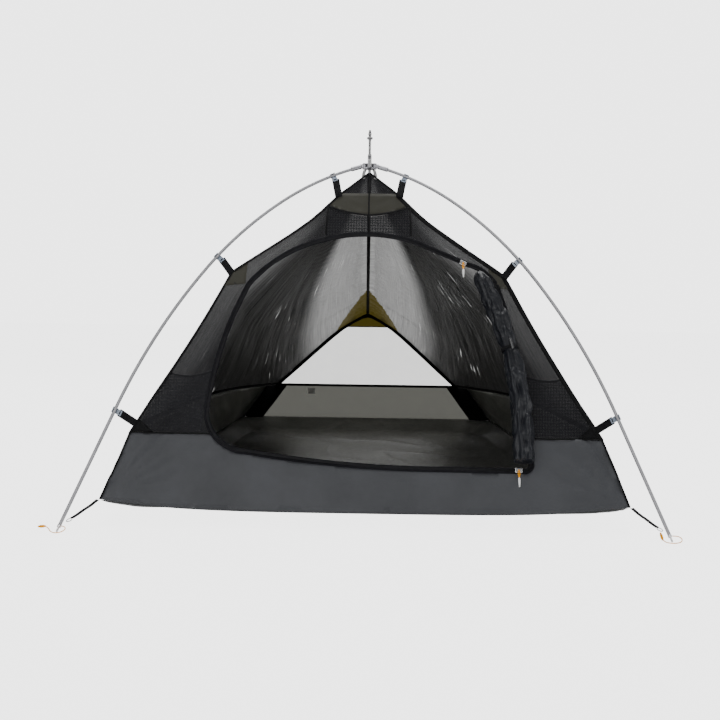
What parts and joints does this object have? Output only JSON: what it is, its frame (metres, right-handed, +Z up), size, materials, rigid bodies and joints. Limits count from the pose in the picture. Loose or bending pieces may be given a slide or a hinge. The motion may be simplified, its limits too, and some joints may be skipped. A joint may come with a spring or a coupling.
{
  "type": "frame tent",
  "caption": "Free-standing two-person inner tent on a hubbed pole frame, with bathtub floor, mesh front, rolled door and clip-on canopy.",
  "frame": {"origin": "on the ground under the middle of the floor", "axes": "+X to the right seen from the front, +Y to the rear, +Z up; the door faces -Y"},
  "size_m": [1.5349, 2.4001, 0.9962],
  "materials": {
    "pole": "satin anodised silver-grey",
    "hub": "domed casting, satin grey",
    "fitting": "black moulded plastic",
    "tip": "turned, satin",
    "pin": "brushed",
    "ferrule": "plain",
    "shock_cord": "braided elastic cord",
    "socket": "white-grey moulded socket with a rivet",
    "floor": "coated floor cloth, olive-grey inside",
    "bathtub": "coated cloth, dark blue-grey outside",
    "mesh": "black insect mesh, see-through",
    "canopy": "translucent grey ripstop",
    "rear": "translucent white ripstop",
    "door": "rolled mesh and cloth",
    "zip": "coil chain on black tape",
    "slider": "black enamelled",
    "pull": "white tapered pull on yellow cord",
    "clip": "grey-blue moulded hook",
    "webbing": "black webbing",
    "ring": "wire",
    "yellow_cord": "braided cord, yellow-orange"
  },
  "bodies": {
    "tent": {"front_hub": "hub", "rear_hub": "hub", "hub_pins": "pin", "ridge_pole": "pole", "ridge_ferrules": "ferrule", "ridge_shock_cord": "shock_cord", "brow_socket": "socket", "floor": "floor", "front_sill": "bathtub", "side_bathtub_left": "bathtub", "side_bathtub_right": "bathtub", "rear_bathtub": "bathtub", "front_mesh_left": "mesh", "front_mesh_right": "mesh", "front_mesh_top": "mesh", "side_wall_left": "canopy", "side_wall_right": "canopy", "rear_wall": "rear", "overhead_pocket": "mesh", "corner_pockets": "mesh", "door_roll": "door", "door_tie": "webbing", "door_zip": "zip", "pole_clips": "clip", "clip_straps": "webbing", "foot_straps": "webbing", "foot_rings": "ring"},
    "front_left_leg": {"front_left_swivel": "fitting", "front_left_pole_upper": "pole", "front_left_ferrules": "ferrule", "front_left_shock_cord": "shock_cord"},
    "front_left_foot": {"front_left_pole_foot": "pole", "front_left_tip": "tip", "front_left_foot_cord": "yellow_cord"},
    "front_right_leg": {"front_right_swivel": "fitting", "front_right_pole_upper": "pole", "front_right_ferrules": "ferrule", "front_right_shock_cord": "shock_cord"},
    "front_right_foot": {"front_right_pole_foot": "pole", "front_right_tip": "tip", "front_right_foot_cord": "yellow_cord"},
    "rear_left_leg": {"rear_left_swivel": "fitting", "rear_left_pole_upper": "pole", "rear_left_ferrules": "ferrule", "rear_left_shock_cord": "shock_cord"},
    "rear_left_foot": {"rear_left_pole_foot": "pole", "rear_left_tip": "tip"},
    "rear_right_leg": {"rear_right_swivel": "fitting", "rear_right_pole_upper": "pole", "rear_right_ferrules": "ferrule", "rear_right_shock_cord": "shock_cord"},
    "rear_right_foot": {"rear_right_pole_foot": "pole", "rear_right_tip": "tip"},
    "brow": {"brow_pole": "pole", "brow_fittings": "fitting"},
    "top_slider": {"zip_slider_top": "slider"},
    "bottom_slider": {"zip_slider_bottom": "slider"},
    "top_pull": {"zip_pull_top": "pull"},
    "bottom_pull": {"zip_pull_bottom": "pull"},
    "toggle": {"door_toggle": "fitting"}
  },
  "joints": [
    {"name": "front_left_swing", "type": "hinge", "parent": "tent", "child": "front_left_leg", "pos_m": [-0.014, -0.71, 0.942], "axis": [0, 0.1392, 0.9903], "range_deg": [0, 45]},
    {"name": "front_left_foot_pull", "type": "slide", "parent": "front_left_leg", "child": "front_left_foot", "axis": [-0.3173, -0.4298, -0.8453], "range_m": [0, 0.05], "stiffness_N_per_m": 150, "springref_m": -0.1},
    {"name": "front_right_swing", "type": "hinge", "parent": "tent", "child": "front_right_leg", "pos_m": [0.014, -0.71, 0.942], "axis": [0, 0.1392, 0.9903], "range_deg": [-45, 0]},
    {"name": "front_right_foot_pull", "type": "slide", "parent": "front_right_leg", "child": "front_right_foot", "axis": [0.3173, -0.4298, -0.8453], "range_m": [0, 0.05], "stiffness_N_per_m": 150, "springref_m": -0.1},
    {"name": "rear_left_swing", "type": "hinge", "parent": "tent", "child": "rear_left_leg", "pos_m": [-0.011, 0.93, 0.575], "axis": [0, -0.0872, 0.9962], "range_deg": [-50, 0]},
    {"name": "rear_left_foot_pull", "type": "slide", "parent": "rear_left_leg", "child": "rear_left_foot", "axis": [-0.5446, 0.3454, -0.7642], "range_m": [0, 0.05], "stiffness_N_per_m": 150, "springref_m": -0.1},
    {"name": "rear_right_swing", "type": "hinge", "parent": "tent", "child": "rear_right_leg", "pos_m": [0.011, 0.93, 0.575], "axis": [0, -0.0872, 0.9962], "range_deg": [0, 50]},
    {"name": "rear_right_foot_pull", "type": "slide", "parent": "rear_right_leg", "child": "rear_right_foot", "axis": [0.5446, 0.3454, -0.7642], "range_m": [0, 0.05], "stiffness_N_per_m": 150, "springref_m": -0.1},
    {"name": "brow_pole_pull", "type": "slide", "parent": "tent", "child": "brow", "axis": [0, -0.9848, 0.1736], "range_m": [0, 0.045]},
    {"name": "top_zip_run", "type": "slide", "parent": "tent", "child": "top_slider", "axis": [-0.909, 0.164, 0.3833], "range_m": [0, 0.13]},
    {"name": "bottom_zip_run", "type": "slide", "parent": "tent", "child": "bottom_slider", "axis": [-0.9999, 0.0045, 0.0106], "range_m": [0, 0.13]},
    {"name": "top_pull_swing", "type": "hinge", "parent": "top_slider", "child": "top_pull", "pos_m": [0.256, -0.83597, 0.67289], "axis": [1, 0, 0], "range_deg": [-80, 0]},
    {"name": "bottom_pull_swing", "type": "hinge", "parent": "bottom_slider", "child": "bottom_pull", "pos_m": [0.386, -1.06054, 0.14819], "axis": [1, 0, 0], "range_deg": [-80, 0]},
    {"name": "toggle_swing", "type": "hinge", "parent": "tent", "child": "toggle", "pos_m": [0.37025, -0.97932, 0.45844], "axis": [0.2339, -0.3826, -0.8938], "range_deg": [-20, 20]}
  ]
}
